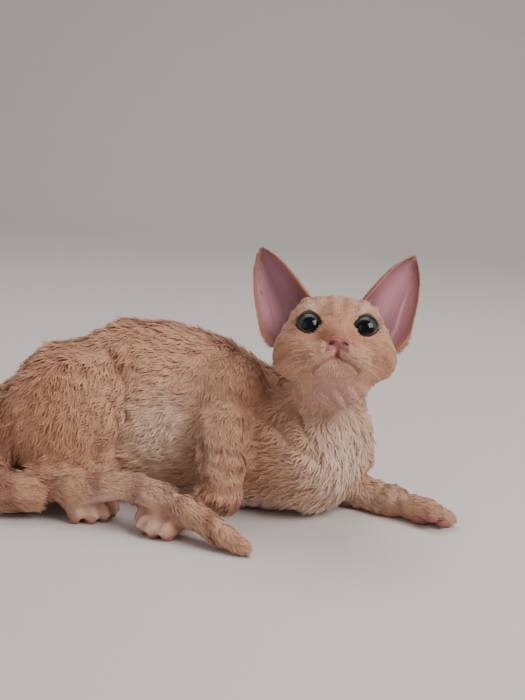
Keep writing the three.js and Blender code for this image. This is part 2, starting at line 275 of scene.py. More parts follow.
def ball_kept(turns, rows):
    """The grid's points that a closed ball keeps: its rows between the poles and one point for each pole."""
    return np.concatenate([[0], np.arange(turns, rows * turns), [rows * turns]])


def closed_ball(name, points, turns, rows, outward=True):
    """A closed surface on a pole-to-pole grid. The pole rows are merged into one point each."""
    body = ball_faces(turns, rows)
    if not outward:
        body = body[:, ::-1]
    kept = ball_kept(turns, rows)
    new_index = np.full(len(points), -1)
    new_index[kept] = np.arange(len(kept))
    body = new_index[body]
    same = body == np.roll(body, -1, axis=1)
    corners = body[~same]
    return new_mesh(name, points[kept], corners, (~same).sum(1))


def arrays(mesh):
    """A mesh's points in millimetres, its vertex normals and its triangles."""
    points = np.empty(len(mesh.vertices) * 3, np.float32)
    mesh.vertices.foreach_get("co", points)
    points = points.reshape(-1, 3).astype(float) / MM
    normals = np.empty(len(mesh.vertices) * 3, np.float32)
    mesh.vertex_normals.foreach_get("vector", normals)
    normals = normals.reshape(-1, 3).astype(float)
    mesh.calc_loop_triangles()
    triangles = np.empty(len(mesh.loop_triangles) * 3, np.int32)
    mesh.loop_triangles.foreach_get("vertices", triangles)
    return points, normals, triangles.reshape(-1, 3)


def evened(piece, share, rounds):
    """Evens a mesh: each round moves every point half of its share of the way to its neighbours' mean."""
    group = piece.vertex_groups.new(name="evening")
    for step in range(1, 9):
        chosen = np.nonzero((share > (step - 0.5) / 8) & (share <= (step + 0.5) / 8))[0]
        group.add(chosen.tolist(), step / 8, "REPLACE")
    modifier = piece.modifiers.new("even", "SMOOTH")
    modifier.vertex_group = "evening"
    modifier.factor = 0.5
    modifier.iterations = rounds
    made = bpy.data.meshes.new_from_object(piece.evaluated_get(bpy.context.evaluated_depsgraph_get()))
    points = arrays(made)[0]
    bpy.data.meshes.remove(made)
    piece.modifiers.clear()
    piece.vertex_groups.clear()
    return points


def grown_copy(node, by):
    """A node's mesh with its doubles merged, moved out along its normals by a few tenths of a millimetre."""
    points, _, triangles = arrays(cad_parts[node].data)
    keys = np.round(points / 0.002).astype(np.int64)
    _, first, where = np.unique(keys, axis=0, return_index=True, return_inverse=True)
    where = where.ravel()
    merged = points[first]
    faces = where[triangles]
    a, b, c = (merged[faces[:, i]] for i in range(3))
    face_normals = np.cross(b - a, c - a)
    normals = np.zeros_like(merged)
    for corner in range(3):
        for axis in range(3):
            normals[:, axis] += np.bincount(faces[:, corner], face_normals[:, axis], len(merged))
    normals /= np.maximum(np.linalg.norm(normals, axis=1), 1e-9)[:, None]
    return merged + normals * by, faces


# How the coat lies: lines through each part, from where the hair starts to where it points, with a radius.
LIE = {
    "trunk": [
        (80, -38, 42, 30), (57, -21, 43, 32), (36, -11, 47, 35), (12, -4, 50, 40), (-16, 2, 51, 45),
        (-50, 3, 51, 45), (-86, 0, 47, 42), (-112, -2, 42, 32), (-134, -4, 34, 22),
    ],
    "neck": [(59, -36, 100, 19), (59, -31, 85, 23), (55, -20, 68, 25), (40, -5, 52, 28)],
    "arm_right": [
        (6, -24, 84, 20), (4, -32, 64, 18), (1, -42, 46, 15), (2, -52, 26, 13), (-3, -58, 12, 11.5),
    ],
    "paw_right": [(-15, -52, 9, 11), (-27, -63, 8, 12), (-40, -74, 7, 12)],
    "arm_left": [(60, 4, 72, 18), (73, -4, 48, 15), (72, 3, 24, 13)],
    "forearm_left": [(64, 8, 12, 12), (86, -6, 10, 11), (104, -17, 8.6, 10)],
    "paw_left": [(100, -16, 8, 10), (115, -23, 7, 10), (130, -30, 5, 9)],
    "thigh_right": [(-62, -22, 82, 24), (-84, -22, 58, 30), (-100, -26, 34, 22)],
    "thigh_left": [(-62, 24, 80, 24), (-84, 26, 56, 30), (-100, 28, 34, 22)],
    "shank_right": [(-56, -30, 24, 12), (-78, -34, 23, 13), (-104, -37, 22, 12)],
    "shank_left": [(-52, 34, 22, 12), (-78, 40, 20, 13), (-106, 38, 18, 11)],
    "hindpaw_right": [(-79, -31, 10, 10), (-69, -44, 8, 12), (-58, -57, 6, 12)],
    "hindpaw_left": [(-102, 40, 9, 10), (-82, 42, 8, 11), (-62, 44, 7, 11)],
    "tail": [
        (-118, 0, 38, 15), (-131, -20, 26, 19), (-125, -39, 16, 15), (-112, -49, 14.5, 13.5),
        (-89, -51, 15, 10.2), (-62, -52, 22, 9), (-40, -58, 24, 8.8), (-23, -67, 20, 8.8),
        (-7, -76, 13, 8.6), (8, -86, 7, 7.6), (24, -96, 3, 5),
    ],
}


def part_fields(points):
    """For each part of LIE: how near each point is, as distance over radius; the part's direction there; and
    how far along it the point lies, from 0 to 1."""
    fields = {}
    for name, line in LIE.items():
        line = np.array(line, float)
        best = np.full(len(points), np.inf)
        heading = np.zeros_like(points)
        share = np.zeros(len(points))
        for i in range(len(line) - 1):
            start, run = line[i, :3], line[i + 1, :3] - line[i, :3]
            t = np.clip((points - start) @ run / (run @ run), 0, 1)
            radius = line[i, 3] + t * (line[i + 1, 3] - line[i, 3])
            reach = np.linalg.norm(points - start - t[:, None] * run, axis=1) / radius
            closer = reach < best
            best = np.where(closer, reach, best)
            heading[closer] = run / np.linalg.norm(run)
            share = np.where(closer, (i + t) / (len(line) - 1), share)
        fields[name] = (best, heading, share)
    return fields


def waves(points, length, seed, count=14):
    """Smooth noise from -1 to 1: a sum of sine waves in random directions, about as long as given."""
    dice = np.random.default_rng(seed)
    direction = dice.normal(size=(count, 3))
    direction /= np.linalg.norm(direction, axis=1)[:, None]
    pace = 2 * np.pi / (length * dice.uniform(0.7, 1.6, count))
    phase = dice.uniform(0, 2 * np.pi, count)
    return np.sin(points @ (direction * pace[:, None]).T + phase).sum(1) / math.sqrt(count / 2) / 1.6


COAT_DEPTHS = {
    "trunk": 3.4, "neck": 2.4, "thigh_right": 3.2, "thigh_left": 3.2, "arm_right": 2.2, "arm_left": 2.2,
    "tail": 2.1, "forearm_left": 2.4, "shank_right": 2.6, "shank_left": 2.4,
}
THIN_COAT = 1.3  # on the parts that are not named


def coat_depth(points, fields):
    """How deep the coat is over each point of the skin, in millimetres: each part's depth, weighed by
    nearness to the eighth, with more on breast, fringe and tail tip, and less on paws, throat and face."""
    near = {name: field[0] for name, field in fields.items()}
    weight = {name: 1 / np.maximum(near[name], 0.3) ** 8 for name in near}
    total = sum(weight.values())
    depth = sum(weight[name] * COAT_DEPTHS.get(name, THIN_COAT) for name in weight) / total
    depth = depth + 0.4 * patch(points, [74, -42, 36], [24, 26, 30])
    depth = depth + 1.6 * patch(points, [52, -54, 14], [34, 20, 12])
    depth = depth + 1.2 * ramp(fields["tail"][2], 0.94, 1.0) * fade(near["tail"], 1.2, 1.6)
    for name in near:
        if "paw" in name:
            thin = 1.4 if name == "paw_left" else 0.75
            away = 1.3 * ramp(near[name], 1.05, 1.5)
            depth = np.minimum(depth, thin + away + 6 * ramp(near[name], 1.35, 2.4))
    head = to_head(points)
    skull = head_distance(head, detail=False)
    face = fade(skull, -0.5, 3.5)
    under_jaw = 0.9 * fade(head[:, 2], -34, -24) * fade(head[:, 0], 12, 22)
    face_depth = 1.0 + 1.2 * fade(head[:, 0], -8, 8) + under_jaw
    low = ramp(points[:, 2], 0, 8)
    depth = depth * (0.35 + 0.65 * low)
    throat = patch(points, [58, -60, 72], [18, 22, 18])
    return (depth * (1 - face) + face_depth * face) * (1 - 0.72 * throat)


# Creases, each with its line, width and depth: the haunch's front edge, the shoulder's fold, the elbow's, and
# the folds of the throat.
CREASES = [
    ([(-62, -38, 90), (-52, -43, 74), (-50, -46, 56), (-54, -46, 36)], 3.2, 2.4),
    ([(10, -44, 70), (26, -46, 60), (42, -52, 48), (54, -58, 40)], 3.0, 2.0),
    ([(-13, -42, 56), (-12, -46, 38), (-10, -48, 22)], 2.8, 1.6),
    ([(25, -38, 80), (36, -48, 68), (47, -58, 56)], 3.0, 3.4),
    ([(38, -50, 83), (50, -60, 71), (62, -68, 58)], 2.6, 4.4),
    ([(56, -60, 83), (64, -64, 74), (71, -66, 64)], 2.4, 4.6),
]
THROAT_FOLDS = [line for line, width, deep in CREASES[3:]]
SIDEWAYS_LESS = [1, 0.12, 1]


def distance_to_line(points, line):
    """How far each point is from a line of straight runs, with distance along Y counted an eighth."""
    points = points * SIDEWAYS_LESS
    line = np.array(line, float) * SIDEWAYS_LESS
    best = np.full(len(points), np.inf)
    for start, run in zip(line[:-1], np.diff(line, axis=0)):
        t = np.clip((points - start) @ run / (run @ run), 0, 1)
        best = np.minimum(best, np.linalg.norm(points - start - t[:, None] * run, axis=1))
    return best


CLOSING = 1.3  # trunk, limbs and tail are grown by this much so that their joins fill, then sunk again
PAW_CLOSING = 0.25
HIDE_STEP = 0.75  # size of the cells in which the flesh is joined
EVENING_ROUNDS = 320
SKIN_TRIANGLES = 186000
FLOOR_GAP = 0.35


def make_skin():
    """Joins the flesh, remeshes it as one closed surface, evens it, sinks it along its normals by the coat's
    depth and the creases, and brings the face to the head's own function."""
    blocks, faces, start = [], [], 0
    for node in FLESH:
        if node in ("head", "nose"):
            continue
        points, triangles = grown_copy(node, PAW_CLOSING if "paw" in node else CLOSING)
        blocks.append(points)
        faces.append(triangles + start)
        start += len(points)
    grid, turns, rows = head_grid()
    blocks.append(from_head(grid))
    quads = ball_faces(turns, rows)
    halves = np.concatenate([quads[:, [0, 1, 2]], quads[:, [0, 2, 3]]])
    whole = (halves[:, 0] != halves[:, 1]) & (halves[:, 1] != halves[:, 2]) & (halves[:, 0] != halves[:, 2])
    faces.append(halves[whole] + start)
    faces = np.concatenate(faces)
    rough = new_mesh("rough", np.concatenate(blocks), faces.ravel(), np.full(len(faces), 3))
    remesh = rough.modifiers.new("one_hide", "REMESH")
    remesh.mode = "VOXEL"
    remesh.voxel_size = HIDE_STEP * MM
    merged = bpy.data.meshes.new_from_object(rough.evaluated_get(bpy.context.evaluated_depsgraph_get()))
    bpy.data.objects.remove(rough)
    skin = bpy.data.objects.new("skin", merged)
    bpy.context.scene.collection.objects.link(skin)
    points, _, _ = arrays(merged)
    head = to_head(points)
    skull = head_distance(head)
    on_head = fade(np.abs(skull), 0.8, 2.5)
    near = {name: field[0] for name, field in part_fields(points).items()}
    fine = np.zeros(len(points))
    slim = np.zeros(len(points))
    for name in near:
        if "paw" in name:
            fine = np.maximum(fine, fade(near[name], 1.35, 1.7))
        elif name not in ("trunk", "neck"):
            slim = np.maximum(slim, fade(near[name], 1.2, 1.6))
    face = on_head * ramp(head[:, 0], -14, -4)
    share = np.clip((1 - face) * (1 - 0.6 * slim), 0, 1) * (1 - fine) + 0.07 * fine
    points = evened(skin, share, EVENING_ROUNDS)
    merged.vertices.foreach_set("co", (points * MM).astype(np.float32).ravel())
    merged.update()
    points, normals, _ = arrays(merged)
    fields = part_fields(points)
    head = to_head(points)
    skull = head_distance(head, detail=False)
    on_head = fade(np.abs(skull + FACE_DEPTH), 1.0, 3.0) * ramp(head[:, 0], -16, 0)
    depth = coat_depth(points, fields) + (CLOSING - 0.5) * (1 - fine) * ramp(skull, 0, 3)
    sunk = points - normals * (depth * (1 - on_head))[:, None]
    pressed = on_head > 0.02
    goal = from_head(push_to_level(head[pressed], -FACE_DEPTH))
    sunk[pressed] += (goal - sunk[pressed]) * on_head[pressed, None]
    for line, width, deep in CREASES:
        sunk -= normals * (deep * bump(distance_to_line(points, line), width) * ramp(skull, 0.5, 4))[:, None]
    throat = patch(points, [60, -60, 72], [17, 20, 17]) * fade(points[:, 2], 80, 88)
    turn = points[:, 0] + 0.6 * (points[:, 2] - 76) + 2.2 * np.sin(points[:, 2] / 11)
    pleats = np.sin(turn * 2 * np.pi / 8.5) + 0.3 * np.sin(turn * 2 * np.pi / 5.1 + 1)
    sunk += normals * (0.9 * pleats * throat)[:, None]
    sunk[:, 2] = np.maximum(sunk[:, 2], FLOOR_GAP)
    merged.vertices.foreach_set("co", (sunk * MM).astype(np.float32).ravel())
    merged.update()
    group = skin.vertex_groups.new(name="keep")
    spare = 1 - np.maximum(on_head * ramp(head[:, 0], 0, 8), fine * 0.7)
    for step in range(5):
        chosen = np.nonzero((spare > step / 5 - 0.001) & (spare <= (step + 1) / 5))[0]
        group.add(chosen.tolist(), 0.02 + 0.98 * (step / 4), "REPLACE")
    thin = skin.modifiers.new("thin", "DECIMATE")
    thin.vertex_group = "keep"
    thin.ratio = min(1.0, SKIN_TRIANGLES / (2 * len(merged.polygons)))
    thin.use_collapse_triangulate = True
    final = bpy.data.meshes.new_from_object(skin.evaluated_get(bpy.context.evaluated_depsgraph_get()))
    skin.modifiers.clear()
    skin.vertex_groups.clear()
    skin.data = final
    final.shade_smooth()
    return skin


def tint(red, green, blue):
    """A display colour, 0 to 255 a channel, as linear light."""
    c = np.array([red, green, blue]) / 255
    return np.where(c <= 0.04045, c / 12.92, ((c + 0.055) / 1.055) ** 2.4)


CREAM = tint(208, 151, 110)
APRICOT = tint(182, 112, 66)
RUST = tint(146, 68, 28)
PALE = tint(240, 214, 196)
PINK_SKIN = tint(180, 122, 114)
NOSE_PINK = tint(144, 56, 56)
LIP = tint(140, 78, 72)
NOSTRIL_SHADE = tint(40, 12, 12)
LID_RIM = tint(62, 36, 31)


def mixed(a, b, share):
    """Colour a run into colour b by a share of 0 to 1 for each point."""
    return a + (b - a) * share[:, None]


def markings_and_painted_light(points, fields):
    """The coat's colour at each point: cream under an apricot saddle, rust bars on legs, tail, brow and
    cheeks, and pale breast, throat, chin, belly and toes. Painted light is mixed in too: a painted highlight
    that makes the near flank paler and less warm, painted shade on the near haunch and in the throat's
    folds, and pink on chin and throat that is partly bare skin and partly painted shade."""
    near = {name: field[0] for name, field in fields.items()}
    along = {name: field[2] for name, field in fields.items()}
    head = to_head(points)
    skull = head_distance(head, detail=False)
    on_head = fade(skull, -1, 4)
    x, y, z = points.T
    trunk = fade(near["trunk"], 1.1, 1.5)
    drift = waves(points, 34, 3)
    fine = waves(points, 11, 4)
    warm = 0.30 + 0.34 * ramp(z, 50, 100) + 0.40 * fade(x, -110, -55) + 0.14 * drift + 0.10 * fine
    # Painted highlight: the near flank, where light falls, is made less warm here and paler below.
    warm -= 0.5 * patch(points, [-30, -40, 44], [22, 40, 30])
    stripe = np.sin(2 * np.pi * (x + 0.35 * z + 5 * drift) / 17.0)
    bars = 0.26 * ramp(stripe, 0.25, 0.95) * trunk * ramp(z, 20, 50)
    bars = np.maximum(bars, 0.55 * bump(y - 1 + 3 * drift, 6) * trunk * ramp(z, 70, 90) * fade(x, -10, 20))
    rings = {
        "arm_right": (z + 0.12 * x, 2.2, (46, 38, 29.5, 20.5, 12)),
        "arm_left": (z, 3, (60, 48, 36, 24)),
        "tail": (x + 0.3 * z, 4.2, (-108, -84, -60, -36, -19, 0)),
        "forearm_left": (x, 3, (80, 90, 100)),
    }
    for name, (height, width, middles) in rings.items():
        ring = sum(bump(height - middle + 1.6 * drift + 0.8 * fine, width) for middle in middles)
        on_part = fade(near[name], 1.15, 1.6) * (1 - on_head)
        bars = np.maximum(bars, (0.4 if name == "forearm_left" else 0.95) * np.clip(ring, 0, 1) * on_part)
        warm += {"tail": -0.5, "forearm_left": 0.45}.get(name, 0.05) * on_part
    warm += 0.10 * waves(points, 3.5, 5)
    pale = 0.95 * patch(points, [76, -46, 38], [26, 30, 36])
    # Painted highlight: the near flank made paler.
    pale = np.maximum(pale, 0.55 * patch(points, [-30, -40, 42], [19, 34, 28]))
    pale = np.maximum(pale, 0.9 * patch(points, [60, -56, 76], [20, 22, 20]))
    pale = np.maximum(pale, 0.8 * fade(z, 6, 22) * trunk)
    for name in near:
        if "paw" in name:
            toes = fade(near[name], 1.1, 1.5) * ramp(along[name], 0.45, 0.9)
            pale = np.maximum(pale, (0.15 if name == "paw_left" else 0.4) * toes)
    hx, hy, hz = head.T
    side = np.abs(hy)
    muzzle = 0.30 * patch(head, [24, 0, -22], [12, 14, 7])
    muzzle = np.maximum(muzzle, 0.45 * patch(head, [8, 0, -30], [18, 16, 9]))
    brow = 0.55 * bump(np.hypot(side - 13.5, hz - 10.5), 4.2) * ramp(hx, 4, 12)
    face_pale = np.maximum(muzzle, brow)
    bridge = 0.5 * bump(hy, 7) * bump(hz + 3, 9) * ramp(hx, 14, 22)
    face_warm = 0.50 + bridge + 0.35 * bump(np.hypot(side - 27, hz + 8), 11) + 0.08 * fine
    inner_streak = bump(side - 3.4 - 0.10 * (hz - 8), 1.7)
    middle_streak = bump(side - 9.4 - 0.28 * (hz - 8), 1.8)
    outer_streak = 0.6 * bump(side - 15.5 - 0.4 * (hz - 10), 1.7)
    streaks = (inner_streak + middle_streak + outer_streak) * ramp(hz, 3, 9)
    cheek = bump(hz + 4.5 + 0.35 * (side - 21), 1.2) + bump(hz + 12 + 0.30 * (side - 21), 1.5)
    streaks = streaks + 0.8 * cheek * ramp(side, 20, 25) * ramp(hx, -10, 2)
    streaks = streaks + 0.55 * bump(np.hypot(side - 6.5, hz + 4.5), 3.4) * ramp(hx, 12, 18)
    pads = bump(np.hypot((side - 11) / 7, (hz + 16) / 6), 1.0) * ramp(hx, 12, 18)
    face_warm += 0.45 * pads * np.sin((hz * 0.92 + hx * 0.38) * 2 * np.pi / 3.0)
    pale = pale * (1 - on_head) + face_pale * on_head
    warm = warm * (1 - on_head) + face_warm * on_head
    bars = bars * (1 - on_head) + 0.95 * np.clip(streaks, 0, 1) * on_head
    # The near haunch made warmer and darker: partly its own colour, partly painted shade.
    warm += 0.45 * patch(points, [-98, -40, 46], [26, 30, 26])
    tone = mixed(CREAM, APRICOT, np.clip(warm, 0, 1))
    tone = mixed(tone, RUST, np.clip(bars, 0, 1))
    tone = mixed(tone, PALE, np.clip(pale, 0, 1))
    # Painted shade: the throat's folds darkened with dark rust.
    folds = np.max([bump(distance_to_line(points, line), 1.9) for line in THROAT_FOLDS], axis=0)
    tone = mixed(tone, RUST * 0.55, 0.8 * folds * (1 - on_head))
    # Chin under the whisker pads, and throat, go half way to pink skin: partly bare skin, partly painted
    # shade.
    pink_and_shade = patch(head, [20, 0, -20], [13, 15, 9])
    pink_and_shade = np.maximum(pink_and_shade, patch(points, [60, -62, 72], [17, 22, 16]))
    return mixed(tone, PINK_SKIN, 0.5 * pink_and_shade)


class Wire:
    """A shader socket. A difference or product of wires and numbers adds the Math node that works it out."""

    def __init__(self, paint, socket):
        self.paint = paint
        self.socket = socket

    def worked(self, operation, *values):
        return self.paint.node("ShaderNodeMath", {"operation": operation}, *values)

    def __mul__(self, other):
        return self.worked("MULTIPLY", self, other)

    __rmul__ = __mul__

    def __sub__(self, other):
        return self.worked("SUBTRACT", self, other)

    def __rsub__(self, other):
        return self.worked("SUBTRACT", other, self)


class Paint:
    """A material under its principled shader, and the one way to add nodes to it."""

    def __init__(self, name, **finish):
        self.material = bpy.data.materials.new(name)
        self.material.use_nodes = True
        self.tree = self.material.node_tree
        self.shader = self.tree.nodes["Principled BSDF"]
        for key, value in finish.items():
            self.shader.inputs[key.replace("_", " ")].default_value = value

    def node(self, kind, settings, *values, out=0, **named):
        """Adds a node: its settings, then its inputs by order or by name, each a value or a wire."""
        made = self.tree.nodes.new(kind)
        for key, value in settings.items():
            setattr(made, key, value)
        by_name = [(key.replace("_", " "), value) for key, value in named.items()]
        for key, value in [*enumerate(values), *by_name]:
            if isinstance(value, Wire):
                self.tree.links.new(value.socket, made.inputs[key])
            elif value is not None:
                made.inputs[key].default_value = value
        return Wire(self, made.outputs[out])

    def feed(self, name, wire):
        self.tree.links.new(wire.socket, self.shader.inputs[name])

    def place(self):
        return self.node("ShaderNodeTexCoord", {}, out="Object")

    def attribute(self, name, out="Color"):
        return self.node("ShaderNodeAttribute", {"attribute_name": name}, out=out)

    def noise(self, scale, detail):
        return self.node("ShaderNodeTexNoise", {}, Vector=self.place(), Scale=scale, Detail=detail)

    def mix(self, share, a, b):
        """Colour a run into colour b; share, a and b are each a value or a wire."""
        made = self.tree.nodes.new("ShaderNodeMix")
        made.data_type = "RGBA"
        for index, value in ((0, share), (6, a), (7, b)):
            if isinstance(value, Wire):
                self.tree.links.new(value.socket, made.inputs[index])
            else:
                made.inputs[index].default_value = value if index == 0 else (*value, 1)
        return Wire(self, made.outputs[2])

    def relief(self, height, distance, strength):
        """A bump from a height wire of 0 to 1 over a distance in metres."""
        bumped = self.node("ShaderNodeBump", {}, Height=height, Distance=distance, Strength=strength)
        self.feed("Normal", bumped)


def give_tones(mesh, tones, **numbers):
    """Stores a colour, and any other numbers, for each point of a mesh."""
    colour = mesh.color_attributes.new("tone", "FLOAT_COLOR", "POINT")
    colour.data.foreach_set("color", np.column_stack([tones, np.ones(len(tones))]).astype(np.float32).ravel())
    for name, values in numbers.items():
        layer = mesh.attributes.new(name, "FLOAT", "POINT")
        layer.data.foreach_set("value", np.asarray(values, np.float32))


skin = make_skin()
skin_points, skin_normals, _ = arrays(skin.data)
skin_fields = part_fields(skin_points)
skin_head = to_head(skin_points)
skin_skull = head_distance(skin_head, detail=False)
skin_tone = mixed(markings_and_painted_light(skin_points, skin_fields), PINK_SKIN, np.full(len(skin_points), 0.22))
hx, hy, hz = skin_head.T
hs = np.abs(hy)
at_face = fade(np.abs(skin_skull), 1.5, 3) * ramp(hx, 10, 15)
at_nose = at_face * ramp(hx, 22, 24)
groove = at_nose * fade(hs, 0.9, 1.5) * ramp(hz, -17.4, -16.2) * fade(hz, -9, -8.2)
leather = at_nose * fade(hs, 5.5, 6.3) * fade(hz, -8.8, -8.0) * ramp(hz + 0.55 * hs, -14.6, -13.4)
leather = np.maximum(leather, groove)
lips = at_face * bump((hz - mouth_height(hs)) * 0.85, 0.9) * fade(hs, 12, 13.5)
pits = at_face * np.exp(-(((hs - 3.7) / 1.7) ** 2 + ((hz + 12.0 + 0.25 * (hs - 3.7)) / 1.0) ** 2))
lid_gap = lid_opening(hy, hz)
rims = ramp(hx, 9, 12) * fade(lid_gap, 0.6, 1.25)
throat = patch(skin_points, [60, -60, 74], [16, 20, 16])
skin_tone = mixed(skin_tone, PINK_SKIN, 0.7 * throat)
skin_tone = mixed(skin_tone, NOSE_PINK, leather)
skin_tone = mixed(skin_tone, LIP, 0.6 * lips)
# Painted shade: the nostril pits are made near black.
skin_tone = mixed(skin_tone, NOSTRIL_SHADE, np.clip(1.3 * pits, 0, 1))
skin_tone = mixed(skin_tone, LID_RIM, rims)
give_tones(skin.data, skin_tone, moist=np.clip(leather * 0.9 + rims * 0.6, 0, 1))
hide = Paint("hide", Subsurface_Weight=0.08, Subsurface_Scale=0.002)
hide.shader.inputs["Subsurface Radius"].default_value = (1.0, 0.35, 0.2)
grain = hide.noise(900, 3)
speckle = hide.mix(grain, (0.30, 0.17, 0.12), (0.75, 0.60, 0.50))
hide.feed("Base Color", hide.mix(0.15, hide.attribute("tone"), speckle))
hide.feed("Roughness", 0.82 - 0.45 * hide.attribute("moist", "Fac"))
hide.relief(hide.noise(1400, 4), 0.0003, 0.7)
skin.data.materials.clear()
skin.data.materials.append(hide.material)
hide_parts(*FLESH)
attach(skin, "root")


# Eyes: two round balls, wet and clear in front, with a wide dark pupil and a grey-green iris that darkens
# to its rim. They sit in the head behind the opening of the lids.
GAZE = np.array([math.cos(math.radians(-13)), 0.0, math.sin(math.radians(-13))])
IRIS_HALF = math.radians(47)
PUPIL_HALF = math.radians(29)


def eye_surface(turns=64, rows=48):
    """A ball on a pole-to-pole grid about the gaze, its front swollen by 0.35 mm times cos^6 of the angle."""
    polar, turn = ball_angles(turns, rows)
    axes = np.array([GAZE, [0, 1, 0], np.cross(GAZE, [0, 1, 0])])
    radius = EYE_RADIUS + 0.35 * np.clip(np.cos(polar), 0, 1) ** 6
    return ball_rays(polar, turn) @ axes * radius.reshape(-1, 1), turns, rows


iris_paint = Paint("eye", Roughness=0.06, IOR=1.36)
iris_paint.feed("Base Color", iris_paint.attribute("tone"))
PUPIL = tint(10, 10, 12)
IRIS_IN = tint(72, 77, 72)
IRIS_OUT = tint(44, 49, 46)
IRIS_RIM = tint(22, 20, 18)
EYE_WHITE = tint(150, 120, 108)
for name, sign in (("eye_left", 1), ("eye_right", -1)):
    ball, turns, rows = eye_surface()
    centre = EYE_AT * [1, sign, 1]
    eye = closed_ball(name + "_ball", from_head(ball + centre), turns, rows, outward=False)
    points, _, _ = arrays(eye.data)
    local = to_head(points) - centre
    polar = np.arccos(np.clip(local @ GAZE / np.linalg.norm(local, axis=1), -1, 1))
    spin = np.arctan2(local[:, 1], local[:, 2])
    fibres = 0.5 + 0.25 * np.sin(spin * 37 + 3 * np.sin(spin * 5)) + 0.2 * np.sin(spin * 61 + 2)
    out = ramp(polar, PUPIL_HALF, IRIS_HALF)
    tone = mixed(np.tile(IRIS_IN, (len(points), 1)), IRIS_OUT, np.clip(out + 0.5 * (fibres - 0.5), 0, 1))
    tone = mixed(tone, IRIS_RIM, ramp(polar, IRIS_HALF - 0.12, IRIS_HALF - 0.02))
    tone = mixed(tone, PUPIL, fade(polar, PUPIL_HALF - 0.02, PUPIL_HALF + 0.03))
    tone = mixed(tone, EYE_WHITE, ramp(polar, IRIS_HALF + 0.03, IRIS_HALF + 0.12))
    give_tones(eye.data, tone)
    eye.data.shade_smooth()
    eye.data.materials.append(iris_paint.material)
    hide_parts(name)
    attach(eye, "root")


# Eyelids' edges: a smooth dark rim of bare skin, 1 mm thick, that lies on the eyeball and runs round each
# opening.
RIM_HALF = (0.45, 0.6)  # out from the eyeball and along it
rim_paint = Paint("lid_rim", Roughness=0.35)
rim_paint.shader.inputs["Base Color"].default_value = (*LID_RIM, 1)
run, turns = 96, 10
for name, sign in (("lid_rim_left", 1), ("lid_rim_right", -1)):
    angle = np.arange(run) / run * 2 * np.pi
    dy = LIDS_HALF[0] * np.cos(angle)
    dz = LIDS_HALF[1] * np.sign(np.sin(angle)) * np.abs(np.sin(angle)) ** 1.24 + 0.1 * dy
    y = LIDS_AT[0] + dy
    z = LIDS_AT[1] + dz
    ball = EYE_RADIUS + 0.15
    x = EYE_AT[0] + np.sqrt(ball**2 - (y - EYE_AT[1]) ** 2 - (z - EYE_AT[2]) ** 2)
    line = np.column_stack([x, y, z])
    outward = (line - EYE_AT) / ball
    ahead = np.roll(line, -1, 0) - np.roll(line, 1, 0)
    ahead /= np.linalg.norm(ahead, axis=1)[:, None]
    across_line = np.cross(ahead, outward)
    spin = np.arange(turns) / turns * 2 * np.pi
    ring = outward[:, None] * (RIM_HALF[0] * np.cos(spin))[None, :, None]
    ring = ring + across_line[:, None] * (RIM_HALF[1] * np.sin(spin))[None, :, None]
    points = (line[:, None] + ring).reshape(-1, 3) * [1, sign, 1]
    i, j = np.meshgrid(np.arange(run), np.arange(turns), indexing="ij")
    here, following, beside = i * turns, (i + 1) % run * turns, (j + 1) % turns
    quads = np.stack([here + j, here + beside, following + beside, following + j], -1)
    quads = quads.reshape(-1, 4)[:, :: (1 if sign > 0 else -1)]
    rim = new_mesh(name, from_head(points), quads.ravel(), np.full(len(quads), 4))
    rim.data.shade_smooth()
    rim.data.materials.append(rim_paint.material)
    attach(rim, "root")


# Ears: thin cupped shells of cartilage and skin, set low and wide. Their insides are bare and pink, and a
# small open fold lies at the foot of the outer edge.
EAR_FRONT = [
    (-1, 14.5, 23), (-2, 20, 31), (-4, 25.5, 38.8), (-7, 31.8, 47), (-10, 37.8, 52.6), (-13, 43.2, 56),
]
EAR_BACK = [(-5, 33, -3), (-8, 39.5, 7), (-11, 43, 20), (-13, 44.8, 31), (-14, 45.4, 43), (-13, 43.2, 56)]
EAR_DEPTH = [14, 14, 13, 10, 6, 0]
EAR_CANAL = np.array([-4.0, 22.0, 6.0])
EAR_BACKWARDS = np.array([-0.86, -0.48, 0.16]) / np.linalg.norm([-0.86, -0.48, 0.16])


def through(stops, share):
    """A smooth curve through stops: the cubic whose slope at each is half the gap between its neighbours."""
    stops = np.array(stops, float).reshape(len(stops), -1)
    place = np.clip(share, 0, 1) * (len(stops) - 1)
    i = np.minimum(place.astype(int), len(stops) - 2)
    t = (place - i)[..., None]
    padded = np.concatenate([[2 * stops[0] - stops[1]], stops, [2 * stops[-1] - stops[-2]]])
    a, b, c, d = (padded[i + k] for k in range(4))
    return 0.5 * (2 * b + (c - a) * t + (2 * a - 5 * b + 4 * c - d) * t**2 + (3 * b - a - 3 * c + d) * t**3)


